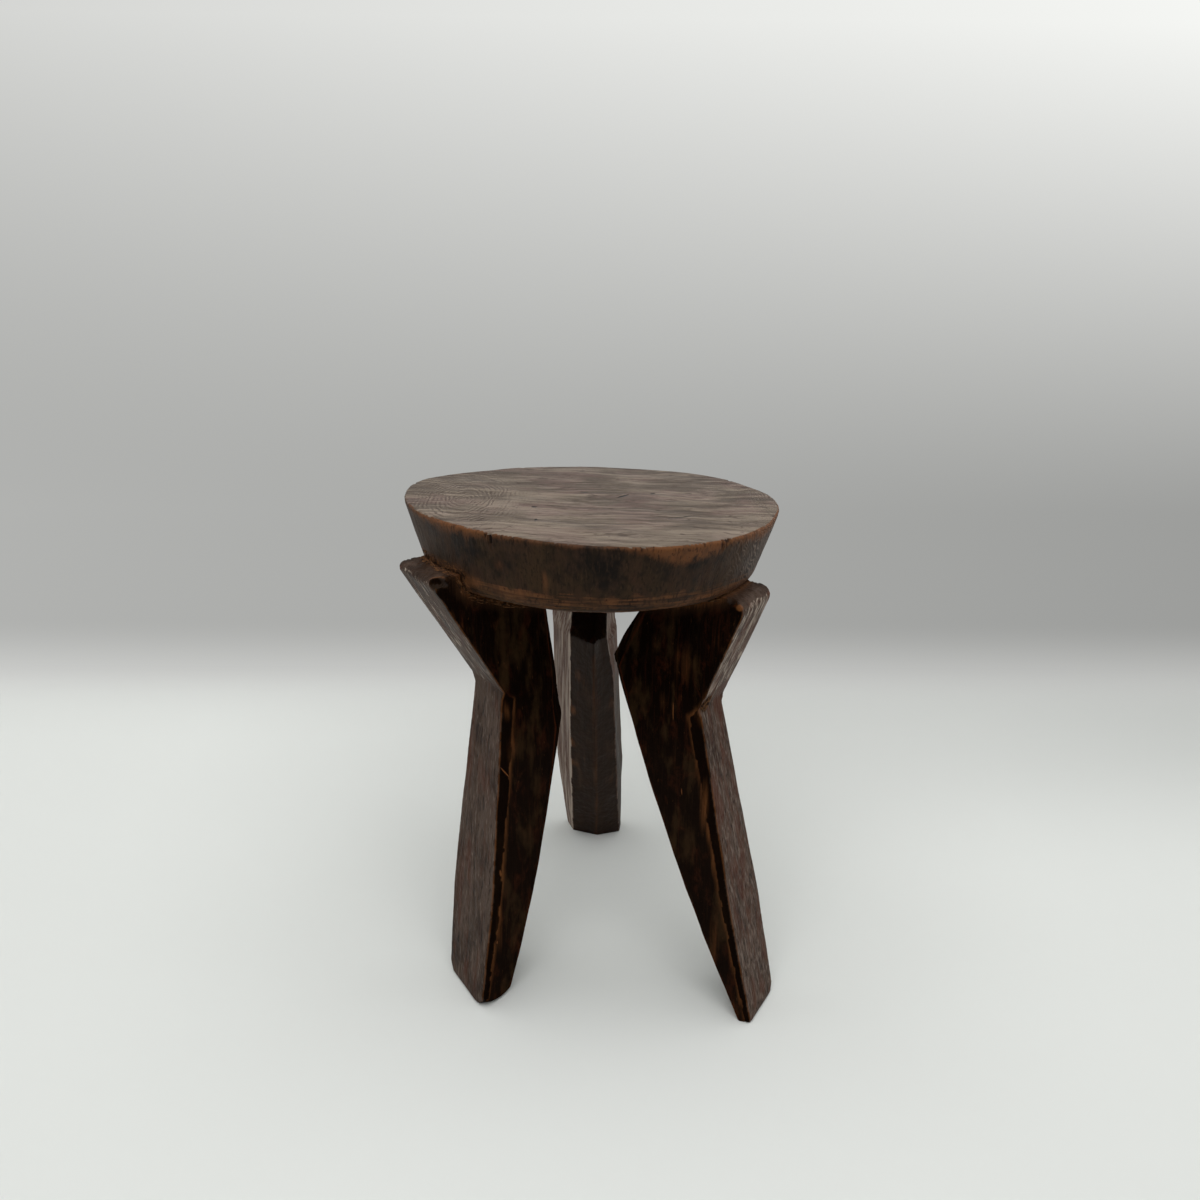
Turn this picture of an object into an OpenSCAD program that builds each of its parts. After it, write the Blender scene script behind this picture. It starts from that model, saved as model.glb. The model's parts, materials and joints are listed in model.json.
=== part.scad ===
// Round three-legged stool, carved by hand in the West African manner.
// A thick slab, drawn in below its rim, is the seat. Each leg is a chevron: it rises from a narrow foot,
// swells, steps in at a notch, and spreads out again to a shoulder that stands beside the seat.
// X is to the right, Y to the back and Z up. The origin is on the floor, under the middle
// of the stool's outline. The seat's centre stands a little to the front and left of it.

/* [Seat] */
// Mean diameter across the rim
seat_d = 227.5; // [206:0.5:246]
// Height of the middle of the top above the floor
seat_h = 331; // [310:1:350]
// Thickness of the seat at its middle
seat_depth = 60; // [52:1:70]
// Height of the sloping side below the rim
side_h = 39; // [32:1:44]
// How far the side draws in on its way down
side_draw = 10.5; // [6:0.5:18]
// Radius where the side turns under
side_turn = 10; // [4:1:14]
// Radius worn on the rim
rim_wear = 2; // [1:0.5:4]
// How far the rim is oval: what its long way adds at each end and its short way lacks
oval = 3; // [0:0.5:7]
// Direction of the long way, in degrees from the right
oval_to = 12; // [0:1:90]
// How far the rim is three-cornered
corners = 2; // [0:0.5:8]
// Direction of the first corner, in degrees from the right
corners_to = 48; // [20:1:80]
// Shift of the rim's middle from the seat's axis to the right
rim_x = 1.5; // [-6:0.5:6]
// The same shift to the back
rim_y = 0; // [-6:0.5:6]
// Lean of the top in degrees
lean = 2; // [0:0.5:4]
// Direction the top leans to, in degrees from the right towards the back
lean_to = 28; // [0:1:90]
// Seat centre to the right of the origin
seat_x = -4.5; // [-15:0.5:5]
// Seat centre behind the origin
seat_y = -17.5; // [-25:0.5:5]

/* [Joints] */
// Diameter of the round tenon on each leg
tenon_d = 22; // [16:1:24]
// Distance of the tenons inside the rim
tenon_in = 37; // [33:1:41]
// Wood left between each mortise and the top
mortise_roof = 24; // [16:1:30]
// Gap all round a tenon and under the seat
fit_gap = 0.1; // [0.05:0.05:0.3]

/* [Left leg] */
// Direction the leg faces, in degrees from the right
left_angle = -145.5; // [-156:0.5:-136]
// Turn of the leg about its inner ridge, in degrees
left_turn = 0; // [-8:1:8]
// Reach of the foot from the seat's axis
left_foot_reach = 105; // [94:1:114]
// Width of the foot at the floor
left_foot_w = 50; // [40:1:56]
// Width of the calf
left_calf_w = 58; // [50:1:64]
// Height of the notch above the floor
left_notch_h = 225; // [215:1:235]
// Reach of the notch
left_notch_reach = 78.5; // [72:0.5:84]
// Width at the notch
left_notch_w = 42; // [36:1:48]
// Drop from the top of the seat to the shoulder
left_shoulder_drop = 28; // [25:0.5:33]
// How far the shoulder stands out past the rim
left_shoulder_out = 9; // [6:0.5:13]
// Width of the shoulder
left_shoulder_w = 51; // [42:1:56]
// Radius on the nose of the shoulder
left_nose_r = 3.5; // [1.5:0.5:5]
// Height of the inner knee
left_knee_h = 188; // [176:1:200]
// Reach of the inner knee
left_knee_reach = 24; // [18:0.5:30]
// Reach of the inner edge of the foot
left_heel_reach = 75; // [70:1:82]
// How far the inner edge of the shin bows in
left_bow = 5.5; // [2:0.5:12]
// Reach of the inner edge where the leg meets the seat
left_head_reach = 36; // [30:1:44]
// How far the gouge cut runs onto the top of the shoulder
left_gouge_run = 8; // [1:0.5:11]

/* [Right leg] */
// Direction the leg faces, in degrees from the right
right_angle = -33; // [-43:1:-23]
// Turn of the leg about its inner ridge, in degrees
right_turn = 0; // [-8:1:8]
// Reach of the foot from the seat's axis
right_foot_reach = 138.5; // [130:0.5:148]
// Width of the foot at the floor
right_foot_w = 41; // [34:1:50]
// Width of the calf
right_calf_w = 46; // [40:1:54]
// Height of the notch above the floor
right_notch_h = 214; // [203:1:223]
// Reach of the notch
right_notch_reach = 89; // [82:1:94]
// Width at the notch
right_notch_w = 36; // [32:1:44]
// Drop from the top of the seat to the shoulder
right_shoulder_drop = 43; // [40:0.5:47]
// How far the shoulder stands out past the rim
right_shoulder_out = 3; // [-1:1:7]
// Width of the shoulder
right_shoulder_w = 41; // [36:1:48]
// Radius on the nose of the shoulder
right_nose_r = 6; // [4:0.5:10]
// Height of the inner knee
right_knee_h = 229; // [216:1:238]
// Reach of the inner knee
right_knee_reach = 16; // [14:1:26]
// Reach of the inner edge of the foot
right_heel_reach = 122.5; // [116:0.5:126]
// How far the inner edge of the shin bows in
right_bow = 7; // [2:0.5:12]
// Reach of the inner edge where the leg meets the seat
right_head_reach = 40; // [34:1:48]
// How far the gouge cut runs onto the top of the shoulder
right_gouge_run = 3; // [1:0.5:6]

/* [Back leg] */
// Direction the leg faces, in degrees from the right
back_angle = 87.5; // [78:0.5:98]
// Turn of the leg about its inner ridge, in degrees
back_turn = 9.5; // [0:0.5:16]
// Reach of the foot from the seat's axis
back_foot_reach = 147; // [140:1:157]
// Width of the foot at the floor
back_foot_w = 47.5; // [40:0.5:54]
// Width of the calf
back_calf_w = 55; // [48:1:62]
// Height of the notch above the floor
back_notch_h = 219; // [209:1:229]
// Reach of the notch
back_notch_reach = 86.5; // [78:0.5:92]
// Width at the notch
back_notch_w = 48; // [42:1:54]
// Drop from the top of the seat to the shoulder
back_shoulder_drop = 39; // [34:1:44]
// How far the shoulder stands out past the rim
back_shoulder_out = 5; // [1:1:9]
// Width of the shoulder
back_shoulder_w = 52; // [44:1:58]
// Radius on the nose of the shoulder
back_nose_r = 4; // [2:0.5:7]
// Height of the inner knee
back_knee_h = 221; // [210:1:232]
// Reach of the inner knee
back_knee_reach = 27; // [22:1:34]
// Reach of the inner edge of the foot
back_heel_reach = 123; // [116:1:130]
// How far the inner edge of the shin bows in
back_bow = 6.5; // [2:0.5:12]
// Reach of the inner edge where the leg meets the seat
back_head_reach = 44; // [36:1:50]

/* [Shared leg shape] */
// Height of the widest part of the calf
calf_h = 80; // [60:1:110]
// Width between the inner side edges at the floor
heel_w = 41; // [34:1:46]
// Width between the inner side edges at the knee
knee_w = 30; // [24:1:36]
// Width between the inner side edges under the seat
head_w = 24; // [20:1:30]
// Rise of the inner ridge at the floor
heel_ridge = 7; // [4:1:10]
// Rise of the inner ridge at the knee
knee_ridge = 14; // [8:1:18]
// Rise of the inner ridge under the seat
head_ridge = 6; // [4:1:10]
// Width on the side of the flat cut along the outer edges, just below the notch
bevel_top = 7.5; // [2:0.5:9]
// The same flat at the foot
bevel_foot = 3.5; // [2:0.5:8]
// Share of that width which the flat takes off the outer face, on the near side of the front legs
bevel_near = 0.3; // [0.2:0.1:1]
// The same share everywhere else
bevel_far = 0.8; // [0.2:0.1:1]
// Height over which that flat fades out below the notch
bevel_stop = 5; // [2:1:8]
// Wear on the outer edges above the notch
arris = 1; // [0.5:0.5:2]
// Slope of the shoulder's top, in degrees up towards the seat
shoulder_slope = 8; // [5:1:12]
// Bevel worn on the outer edge of the foot
foot_wear = 2.5; // [1:0.5:6]
// Radius of the gouge that cut the near edge of each front shoulder
gouge_r = 4.5; // [3:0.5:7]
// Depth of that cut where it runs out
gouge_depth = 5; // [2:0.5:7]
// Distance of that cut from the nose
gouge_in = 3; // [1:0.5:6]

/* [Hidden] */
$fn = 96;
seat_r = seat_d / 2;
foot_r = seat_r - side_draw;
tenon_reach = seat_r - tenon_in;
under_h = seat_h - seat_depth;
// Steps round the seat, round a corner of its section, along its belly and along a shin
ring_steps = 60;
arc_steps = 4;
belly_steps = 7;
shin_steps = 8;
// Least step in height between two levels of a leg
least_step = 1;
// Depth of a tenon inside its leg, below the seat
tenon_root = 14;

// Middle value at share s of the way from a to b
function mix(a, b, s) = a + (b - a) * s;

// Points of an arc of radius r that rounds the corner p between the points a and b
function rounded(p, a, b, r, n) =
    let (u = (a - p) / norm(a - p), v = (b - p) / norm(b - p),
         half = acos(u * v) / 2,
         c = p + (u + v) / norm(u + v) * r / sin(half),
         s = p + u * r / tan(half) - c,
         e = p + v * r / tan(half) - c,
         start = atan2(s[1], s[0]),
         turn = atan2(s[0] * e[1] - s[1] * e[0], s * e))
    [for (i = [0 : n]) c + r * [cos(start + turn * i / n), sin(start + turn * i / n)]];

// Radius of the round belly under the seat, and a point on it at radius r
belly_sag = seat_depth - side_h;
belly_r = (foot_r * foot_r + belly_sag * belly_sag) / (2 * belly_sag);
function belly(r) = [r, belly_r - sqrt(belly_r * belly_r - r * r) - seat_depth];

// Half of the seat's section, from near the middle of the belly round to the top of the rim
seat_section = concat(
    [for (i = [1 : belly_steps - 1]) belly(foot_r * i / belly_steps)],
    rounded([foot_r, -side_h], belly(foot_r * (1 - 1 / belly_steps)), [seat_r, 0], side_turn, arc_steps),
    rounded([seat_r, 0], [foot_r, -side_h], [0, 0], rim_wear, arc_steps));

// How far the rim stands out of round at the angle a
function rim_out(a) = oval * cos(2 * (a - oval_to)) + corners * cos(3 * (a - corners_to));

// The ring of the seat through the point p of its section. It is round below and takes the rim's form above.
function seat_ring(p) =
    let (share = max(0, 1 + p[1] / side_h))
    [for (i = [0 : ring_steps - 1])
        let (a = 360 * i / ring_steps, r = p[0] + share * rim_out(a))
        [share * rim_x + r * cos(a), share * rim_y + r * sin(a), p[1]]];

// Puts things in the seat's own frame: its axis is Z and its top lies at z = 0
module on_seat() {
    translate([seat_x, seat_y, seat_h])
        rotate([0, 0, lean_to]) rotate([0, lean, 0]) rotate([0, 0, -lean_to])
            children();
}

// A solid through a list of levels, from the lowest up, each a loop of as many points
module loft(levels) {
    n = len(levels[0]);
    last = len(levels) - 1;
    points = [for (l = levels) each l];
    walls = [for (i = [0 : last - 1]) for (j = [0 : n - 1])
        let (k = (j + 1) % n)
        each [[i * n + j, (i + 1) * n + j, (i + 1) * n + k], [i * n + j, (i + 1) * n + k, i * n + k]]];
    bottom = [for (j = [0 : n - 1]) j];
    top = [for (j = [n - 1 : -1 : 0]) last * n + j];
    polyhedron(points, concat([bottom, top], walls), convexity = 6);
}

// The seat before its mortises are bored
module seat_blank() {
    on_seat() loft([for (p = seat_section) seat_ring(p)]);
}

// A round peg or hole in the seat's frame, from deep in a leg up to near the top
module socket(angle, d, roof) {
    on_seat() rotate([0, 0, angle]) translate([tenon_reach, 0, -seat_depth - tenon_root])
        cylinder(d = d, h = seat_depth + tenon_root - roof);
}

module seat() {
    color([0.25, 0.19, 0.16]) difference() {
        seat_blank();
        for (angle = [left_angle, right_angle, back_angle])
            socket(angle, tenon_d + 2 * fit_gap, mortise_roof);
    }
}

// One level of a leg: the outer face with its two bevels, two sides, and the ridge inside.
// Each point is [reach, offset to the side, height]. The outer face is at height z_out, and its ends are inset.
function level(r_out, w_out, bevel, inset, r_in, w_in, ridge, z_out, z_side, z_ridge, skew) =
    [for (p = [
        [r_out, inset[0] - w_out / 2, z_out],
        [r_out, w_out / 2 - inset[1], z_out],
        [r_out - bevel, w_out / 2, z_out],
        [r_in + ridge, w_in / 2, z_side],
        [r_in, 0, z_ridge],
        [r_in + ridge, -w_in / 2, z_side],
        [r_out - bevel, -w_out / 2, z_out]])
    [p[0], p[1] + (p[0] - r_in) * skew, p[2]]];

module leg(angle, turn, foot_reach, foot_w, calf_w, notch_h, notch_reach, notch_w,
           shoulder_drop, shoulder_out, shoulder_w, nose_r,
           knee_h, knee_reach, heel_reach, bow, head_reach, near_side, gouge_run) {
    shoulder_h = seat_h - shoulder_drop;
    shoulder_reach = seat_r + shoulder_out;
    rise = tan(shoulder_slope);
    skew = tan(turn);

    // Height of the shoulder's sloping top at reach r
    function cap_h(r) = shoulder_h + (shoulder_reach - r) * rise;

    function out_reach(z) = z < notch_h
        ? mix(foot_reach, notch_reach, z / notch_h) - max(0, foot_wear - z) / 2
        : mix(notch_reach, shoulder_reach, (z - notch_h) / (shoulder_h - notch_h));
    function in_reach(z) = z < knee_h
        ? mix(heel_reach, knee_reach, z / knee_h) - 4 * bow * z / knee_h * (1 - z / knee_h)
        : mix(knee_reach, head_reach, (z - knee_h) / (under_h - knee_h));
    function out_w(z) =
        lookup(z, [[0, foot_w], [calf_h, calf_w], [notch_h, notch_w], [shoulder_h, shoulder_w]]);
    function in_w(z) = lookup(z, [[0, heel_w], [knee_h, knee_w], [under_h, head_w]]);
    function ridge(z) = lookup(z, [[0, heel_ridge], [knee_h, knee_ridge], [under_h, head_ridge]]);
    function bevel(z) = lookup(z, [[0, bevel_foot], [notch_h - bevel_stop, bevel_top], [notch_h, arris]]);
    inset = [near_side < 0 ? bevel_near : bevel_far, near_side > 0 ? bevel_near : bevel_far];

    nose = rounded([shoulder_reach, shoulder_h], [notch_reach, notch_h],
                   [0, cap_h(0)], nose_r, arc_steps);
    nose_h = nose[0][1];

    // Heights of the levels: the foot, the shin up to the knee or the notch, and what lies above that
    stop_h = notch_h - bevel_stop;
    shin = [for (i = [0 : shin_steps]) mix(foot_wear, min(knee_h, stop_h), i / shin_steps)];
    heights = concat([0], shin, knee_h < stop_h - least_step ? [stop_h] : [], [notch_h],
                     knee_h > notch_h + least_step ? [knee_h] : [], [nose_h]);
    low = [for (z = heights)
        level(out_reach(z), out_w(z), bevel(z), bevel(z) * inset, in_reach(z), in_w(z), ridge(z), z, z, z, skew)];
    high = [for (i = [1 : arc_steps])
        let (r_in = in_reach(nose_h), up = ridge(nose_h), s = i / arc_steps)
        level(nose[i][0], out_w(nose_h), arris, arris * inset, r_in, in_w(nose_h), up, nose[i][1],
              mix(nose_h, cap_h(r_in + up), s), mix(nose_h, cap_h(r_in), s), skew)];

    // Where the gouge cuts the near edge of the shoulder's top
    cut = [nose[arc_steps][0] - gouge_in, near_side * out_w(nose_h) / 2, nose[arc_steps][1]];

    difference() {
        translate([seat_x, seat_y, 0]) rotate([0, 0, angle]) difference() {
            loft(concat(low, high));
            if (near_side != 0) translate(cut) hull() {
                translate([0, -near_side * gouge_run, gouge_r]) sphere(gouge_r, $fn = 32);
                translate([0, near_side * gouge_r, gouge_r - gouge_depth]) sphere(gouge_r, $fn = 32);
            }
        }
        translate([0, 0, -fit_gap]) seat_blank();
    }
    socket(angle, tenon_d, mortise_roof + fit_gap);
}

module left_leg() {
    color([0.17, 0.11, 0.08])
        leg(left_angle, left_turn, left_foot_reach, left_foot_w, left_calf_w,
            left_notch_h, left_notch_reach, left_notch_w,
            left_shoulder_drop, left_shoulder_out, left_shoulder_w, left_nose_r,
            left_knee_h, left_knee_reach, left_heel_reach, left_bow, left_head_reach,
            near_side = 1, gouge_run = left_gouge_run);
}

module right_leg() {
    color([0.18, 0.12, 0.09])
        leg(right_angle, right_turn, right_foot_reach, right_foot_w, right_calf_w,
            right_notch_h, right_notch_reach, right_notch_w,
            right_shoulder_drop, right_shoulder_out, right_shoulder_w, right_nose_r,
            right_knee_h, right_knee_reach, right_heel_reach, right_bow, right_head_reach,
            near_side = -1, gouge_run = right_gouge_run);
}

module back_leg() {
    color([0.16, 0.11, 0.08])
        leg(back_angle, back_turn, back_foot_reach, back_foot_w, back_calf_w,
            back_notch_h, back_notch_reach, back_notch_w,
            back_shoulder_drop, back_shoulder_out, back_shoulder_w, back_nose_r,
            back_knee_h, back_knee_reach, back_heel_reach, back_bow, back_head_reach,
            near_side = 0, gouge_run = 0);
}

seat();
left_leg();
right_leg();
back_leg();
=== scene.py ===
"""The looks of a small round stool, carved from one block of wood: hewn and worn surfaces, old dark wood,
torn fibres in the creases, and a plain pale sweep under soft studio light."""
import json
import math
import random

import bmesh
import bpy
import numpy as np
from bpy.props import FloatProperty, FloatVectorProperty, IntProperty, PointerProperty
from mathutils import Matrix, Vector, noise
from mathutils.bvhtree import BVHTree
from mathutils.kdtree import KDTree

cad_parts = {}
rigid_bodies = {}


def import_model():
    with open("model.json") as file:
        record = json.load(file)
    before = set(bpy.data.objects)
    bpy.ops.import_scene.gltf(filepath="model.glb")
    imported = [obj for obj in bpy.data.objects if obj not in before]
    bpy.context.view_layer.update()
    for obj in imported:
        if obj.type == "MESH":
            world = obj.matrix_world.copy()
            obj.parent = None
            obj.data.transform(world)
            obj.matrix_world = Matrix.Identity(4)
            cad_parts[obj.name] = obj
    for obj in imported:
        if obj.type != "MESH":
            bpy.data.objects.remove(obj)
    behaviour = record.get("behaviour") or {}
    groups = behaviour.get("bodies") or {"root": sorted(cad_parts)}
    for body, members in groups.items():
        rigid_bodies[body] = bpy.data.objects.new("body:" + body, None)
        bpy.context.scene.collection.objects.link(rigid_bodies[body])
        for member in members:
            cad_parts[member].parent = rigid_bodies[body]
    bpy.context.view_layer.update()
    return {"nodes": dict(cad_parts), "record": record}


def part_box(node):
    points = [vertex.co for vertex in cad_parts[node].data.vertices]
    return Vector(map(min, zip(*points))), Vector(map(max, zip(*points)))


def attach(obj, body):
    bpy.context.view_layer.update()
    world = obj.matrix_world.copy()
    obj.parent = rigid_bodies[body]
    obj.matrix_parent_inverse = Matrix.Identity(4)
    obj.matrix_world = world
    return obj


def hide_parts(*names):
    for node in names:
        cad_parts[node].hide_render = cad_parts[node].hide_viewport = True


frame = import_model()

bl_info = {
    "name": "Carved round stool",
    "version": (1, 0, 0),
    "blender": (4, 5, 0),
    "location": "3D View > Sidebar > Stool",
    "description": "Carves and finishes a small round wooden stool over its solid model",
    "category": "Object",
}

MM = 0.001
LEGS = ("left_leg", "right_leg", "back_leg")
MOUNTS = {mount["name"]: mount for mount in frame["record"]["mounts"]}

# The seat's own frame: the middle of its top, and its axis, which leans 2 degrees
SEAT_TOP = Vector(MOUNTS["seat_top"]["pos_m"])
SEAT_AXIS = Vector(MOUNTS["seat_top"]["axis"]).normalized()
SEAT_R = 0.1135
# Edges of the solids that turn further than this stay as lines in the carved mesh, which points move onto from this
# share of the grid's spacing away
SHARP, SNAP = math.radians(14), 0.7
# Faces of two solids closer than this touch
TOUCHING = 0.3 * MM

# The values from here on are in millimetres, in the frame of the solids.
# Where the pith of the log comes out of the seat's top, near its left edge
PITH = (-82.5, -34, 334)
# Gap between the growth rings, and between the lines of the swirling grain at the seat's right end
RING_GAP, SWIRL_GAP = 2.3, 2.0
# Mean radius of the seat's side, and half the depth of the checks in its top
SIDE_R, CHECK_DEPTH = 100.0, 3.0
# Drying checks and pits in the seat's top: middle, direction in degrees, half length, half width
TOP_CHECKS = (((15, -8.6, 330), 56, 8.5, 1.5), ((47.5, -60.5, 330), 30, 12, 0.9),
              ((-39.3, -48, 332.6), 20, 1.8, 2.2), ((-36.2, -80.2, 333), 70, 2.6, 1.0),
              ((34.5, 1.5, 329.7), 40, 2.2, 1.4), ((-9.5, -1, 330.8), 12, 3.5, 1.3))
# How far the rim stands out and up from the turned outline: direction in degrees, mm out, mm up
RIM_SHAPE = ((-180, 0.8, 1.2), (-165, 0, 1.3), (-150, 0, 1.3), (-135, 0, 1.1), (-120, 0, 0.6), (-105, 0, -0.1),
             (-90, 0, -0.7), (-75, 0, -1.2), (-60, 0, -1.3), (-45, 0, -1.1), (-30, 0, -0.6), (-15, 0, 0.1),
             (0, 1.5, 0.8), (12, 1.5, 1.2), (25, 0, 1.2), (37, 1, 1.5), (50, 0.5, 1.0), (65, 0, 0.5), (80, 0, 0.2),
             (105, 0.5, 0.2), (122, 1.5, 0.2), (131, 0, -0.1), (144, 1, 0.3), (160, 2.5, 1.2), (172, 1.8, 1.4),
             (180, 0.8, 1.2))
# How far down the side the rim is rubbed bare, by direction in degrees from +X
RUBBED_RIM = ((-180, 1), (-162, 3), (-145, 6), (-128, 7), (-119, 3.5), (-112, 2.5), (-100, 2), (-84, 2), (-76, 5),
              (-70, 11), (-64, 13), (-54, 10), (-47, 5), (-32, 9), (-16, 8), (0, 4), (60, 3), (120, 5), (180, 1))
# How far the seat's side is greyed by handling and dust, by direction
DUSTY_SIDE = ((-180, 0.8), (-160, 0.75), (-145, 0.5), (-130, 0.35), (-110, 0.05), (-80, 0.05), (-62, 0.3),
              (-45, 0.5), (-28, 1), (0, 1.1), (20, 0.7), (60, 0.5), (120, 0.4), (150, 0.6), (180, 0.8))
# Chips out of the rim: direction in degrees, width, depth, reach down the side
RIM_CHIPS = ((-119.3, 1.5, 1.6, 8), (-121, 1.4, 0.9, 3), (-77, 1.4, 0.8, 3), (-73.5, 1.3, 0.9, 3.5),
             (-49.8, 2.3, 1.3, 3.5), (-51.5, 1.2, 0.9, 6), (-101, 1.0, 0.4, 2), (35, 2.5, 1.2, 5),
             (118, 2.0, 1.2, 6), (170, 2.4, 0.9, 4))
# Wood rubbed bare on the seat's side in soft spots: middle, half width, half height, how much
SEAT_SPOTS = (((-54.7, -113.0, 316.8), 4, 5, 0.8), ((-29.4, -122, 308), 2.5, 12, 0.9), ((-45, -110, 300), 12, 4, 0.8),
              ((-70, -98, 303), 13, 5, 0.9), ((-8, -122, 319), 5, 9, 0.6), ((4, -123, 318), 4, 9, 0.6),
              ((14, -124, 312), 12, 8, 0.4), ((-84, -84, 306), 6, 6, 0.8))
# Soft spots on the legs where handling has laid bare red-brown wood, given in the same way
LEG_SPOTS = (((-56, -78, 212), 3, 9, 0.7), ((61, -81, 212), 4, 10, 0.8), ((-54, -79, 185), 4, 18, 0.6),
             ((40, -66, 214), 6, 12, 0.45), ((48, -72, 175), 5, 22, 0.4), ((66, -86, 150), 4, 22, 0.8),
             ((78, -91, 60), 6, 30, 0.8), ((-62, -92, 60), 5, 30, 0.7), ((96, -95, 8), 12, 12, 0.9),
             ((-72, -84, 6), 10, 9, 0.6), ((-92, -92, 305), 4, 4, 0.5), ((52, -74, 243), 15, 20, 0.5),
             ((68, -88, 262), 7, 12, 0.3), ((-19, 45, 152), 5, 7, 0.9), ((-19, 60, 118), 4, 8, 0.9),
             ((-18, 70, 94), 6, 6, 0.8), ((-12, 31, 188), 7, 11, 0.6), ((8, 42, 160), 8, 12, 0.5),
             ((-10, 64, 108), 7, 12, 0.6), ((9, 74, 78), 8, 12, 0.5))
# Places on the legs painted dark as painted shade, in recesses under the seat, in the left scoop and in the back leg's
# hollow above its knee: middle, half width, half height, how much
LEG_SHADE = (((-82.5, -97, 302), 5, 5, 1.2), ((-86, -104, 297), 5, 3.5, 1.2), ((72, -92, 289), 5, 5, 0.9),
            ((75, -94, 283), 5, 3, 1), ((-50, -74, 226), 9, 8, 0.8), ((-5.6, 20, 243), 15, 22, 1.6),
            ((-78, -97, 290), 9, 9, 0.7))
# How far each kind of face on a leg is greyed, partly by dust and partly as painted sheen on the faces that the side
# and top lights fall on
GREYED = {"left_leg": {"outer": 1, "ledge": 0.85}, "right_leg": {"outer": 1.1, "ledge": 0.85},
          "back_leg": {"outer": 1, "ledge": 0.85, "flat": 1.1, "side": 1.55, "inside": 0.6}}
# Scoops that a gouge left: node, one end, the other end, radius
SCOOPS = (("left_leg", (-90.2, -100.8, 303.4), (-91.5, -112, 310), 4.7),)
# Feet worn round below a height: leg, a place inside the foot at that height, radius
WORN_FEET = (("left_leg", (-81, -71, 20), 28), ("right_leg", (101.5, -90, 18), 25),
             ("back_leg", (-2, 116, 12), 28.5))
# Corners knocked blunt: leg, place, radius, mm of wear
BLUNT = (("left_leg", (-27, -42, 203), 20, 1.6), ("right_leg", (9.5, -33, 228), 18, 1.8),
         ("right_leg", (60, -81, 219), 7, 1.0), ("left_leg", (-78, -94, 1), 8, 1.6),
         ("right_leg", (98, -110, 1), 7, 1.0))
# Fibres torn in the creases under the seat: leg, how many are tried, how far out they start
TORN_CREASES = (("left_leg", 520, 5.5), ("right_leg", 160, 2.6))
# Fibres torn in the right notch: middle, radius, how many are tried
TORN_NOTCH = (65, -76.5, 217.5), 6.5, 70
# How far the back leg's grain runs back for each mm down, as that leg slopes
BACK_SLOPE = 0.4
# The way the grain runs in the legs' upper arms, with x mirrored on the left
ARM_GRAIN = (38, -22, 85)
# Cuts and nicks on the front legs: one end, the other end, half width, how bare from 0 to 1, where 0 is sooted
LEG_CUTS = (((75, -96, 285.5), (82.5, -94.5, 287.5), 2.7, 0.6), ((-71, -75, 239.5), (-57, -79.5, 242), 0.7, 0),
            ((-61.4, -82.9, 177.8), (-55, -81.3, 168.4), 0.5, 1),
            ((45.5, -70.4, 216.9), (46.2, -71.2, 201), 0.5, 1), ((-62.3, -90.2, 108), (-61.5, -90.6, 101), 1.0, 0.6),
            ((-65.6, -92.5, 54), (-65.4, -92.5, 51), 0.7, 1), ((52, -77, 160), (52.6, -77.5, 152), 0.6, 0.7),
            ((63, -84, 135), (67, -88, 108), 0.6, 0.8))


def srgb(code):
    """Linear colour from an sRGB hex value."""
    channels = [int(code[i:i + 2], 16) / 255 for i in (1, 3, 5)]
    return [c / 12.92 if c <= 0.04045 else ((c + 0.055) / 1.055) ** 2.4 for c in channels]


def colour(name, code, description):
    return FloatVectorProperty(name=name, description=description, subtype="COLOR", size=3, min=0, max=1,
                               default=srgb(code))


def length(name, value, description):
    return FloatProperty(name=name, description=description, subtype="DISTANCE", unit="LENGTH", min=0,
                         default=value * MM)


class StoolCarving(bpy.types.PropertyGroup):
    """Sizes of what the carver's tools and long use left on the surface."""
    seat_grid: length("Seat grid", 1.1, "Spacing of the seat's mesh")
    leg_grid: length("Leg grid", 0.9, "Spacing of the legs' mesh")
    warp: FloatProperty(name="Warp", description="Share of the rim's unevenness that is carved", min=0, max=2,
                        default=1)
    waver: length("Waver", 0.35, "How far hand-cut edges and faces stray from their line")
    hew_w: length("Tool width", 15, "Width of the hollows that the adze left")
    hew_l: length("Tool stroke", 36, "Length of those hollows along the grain")
    hew_d: length("Tool depth", 0.4, "Depth of those hollows")
    top_d: length("Top unevenness", 0.35, "Height of the waves in the worn top")
    wear: FloatProperty(name="Wear", description="How far worn edges are rounded", min=0, max=1, default=0.6)
    fibre_r: length("Fibre thickness", 0.3, "Half thickness of the torn fibres in the creases")
    fibre_l: length("Fibre length", 11, "Usual length of the torn fibres")
    seed: IntProperty(name="Seed", description="Start of the random draws", default=7)


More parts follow.
